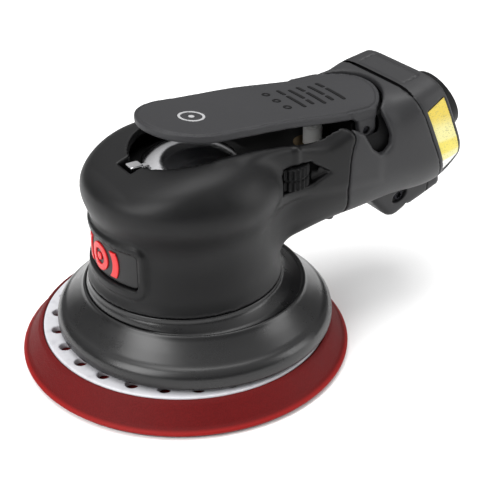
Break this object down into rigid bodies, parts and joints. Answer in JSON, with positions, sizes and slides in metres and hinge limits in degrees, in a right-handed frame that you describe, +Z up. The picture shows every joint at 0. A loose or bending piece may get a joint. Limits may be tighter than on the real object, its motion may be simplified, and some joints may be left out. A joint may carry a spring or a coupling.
{
  "type": "orbital sander",
  "caption": "Pneumatic random-orbital palm sander: round head with a skirt and soft disc pad, short rear handle, paddle lever over the top and a speed dial on the side.",
  "frame": {"origin": "on the abrasive face of the pad, where the motor's axis meets it", "axes": "+Z up along the motor's axis, +X from the head towards the handle's rear, +Y to the left of someone looking along +X"},
  "size_m": [0.188, 0.127, 0.0965],
  "materials": {
    "soft_grip": "satin",
    "hard_plastic": "satin",
    "shroud_rubber": "satin",
    "lever_plastic": "satin",
    "dark_plastic": "satin",
    "polished_steel": "polished",
    "machined_steel": "brushed",
    "black_steel": "satin",
    "aluminium": "satin",
    "brass": "satin",
    "badge_grey": "gloss",
    "mark_red": "gloss",
    "label_yellow": "satin",
    "pad_red": "matte",
    "pad_white": "satin",
    "hook_fabric": "hook",
    "stem_white": "satin",
    "mark_grey": "satin",
    "felt": "felt",
    "seal_rubber": "satin"
  },
  "bodies": {
    "housing": {"motor_housing": "dark_plastic", "soft_grip": "soft_grip", "rear_handle": "hard_plastic", "handle_end_cap": "hard_plastic", "shroud": "shroud_rubber", "crown_cap": "polished_steel", "key_rib": "polished_steel", "badge_plate": "badge_grey", "badge_mark": "mark_red", "rating_label": "label_yellow", "exhaust_block": "dark_plastic", "exhaust_plug": "dark_plastic", "muffler": "felt", "exhaust_screws": "black_steel", "inlet_bushing": "machined_steel", "inlet_collar": "dark_plastic", "inlet_screen": "brass", "lever_pin": "machined_steel", "valve_bushing": "brass", "valve_spring": "machined_steel", "valve_seat_ring": "seal_rubber", "lock_ring": "machined_steel", "lower_end_plate": "aluminium", "upper_end_plate": "aluminium", "cylinder_dowel": "machined_steel", "cylinder_seals": "seal_rubber", "motor_cylinder": "machined_steel", "lower_bearing": "polished_steel", "upper_bearing": "polished_steel"},
    "rotor": {"rotor": "machined_steel", "vanes": "dark_plastic", "rotor_key": "machined_steel", "shaft_balancer": "machined_steel", "spindle_bearing": "polished_steel", "bearing_clip": "black_steel"},
    "pad": {"spindle": "machined_steel", "spindle_screw": "black_steel", "pad_hub": "machined_steel", "pad_plate": "pad_white", "pad_foam": "pad_red", "hook_face": "hook_fabric"},
    "lever": {"throttle_lever": "lever_plastic", "lever_mark": "mark_grey"},
    "valve": {"valve_stem": "stem_white", "valve_disc": "seal_rubber"},
    "dial": {"speed_dial": "dark_plastic", "dial_seal": "seal_rubber"}
  },
  "joints": [
    {"name": "rotor_spin", "type": "hinge", "parent": "housing", "child": "rotor", "pos_m": [0, 0, 0.0465], "axis": [0, 0, -1], "continuous": true},
    {"name": "pad_spin", "type": "hinge", "parent": "rotor", "child": "pad", "pos_m": [0.00098, 0.00217, 0.0165], "axis": [0, 0, -1], "continuous": true},
    {"name": "lever_press", "type": "hinge", "parent": "housing", "child": "lever", "pos_m": [0.0679, 0, 0.0811], "axis": [0, -1, 0], "range_deg": [0, 5], "stiffness_Nm_per_rad": 1.2, "springref_deg": -8.59},
    {"name": "valve_slide", "type": "slide", "parent": "housing", "child": "valve", "axis": [0, 0, -1], "range_m": [0, 0.00095], "deforming": ["valve_spring"]},
    {"name": "dial_turn", "type": "hinge", "parent": "housing", "child": "dial", "pos_m": [0.0335, -0.0185, 0.0665], "axis": [0, 0, 1], "range_deg": [-90, 90]}
  ],
  "couplings": [
    {"joint": "valve_slide", "follows": "lever_press", "m_per_rad": 0.0104}
  ]
}
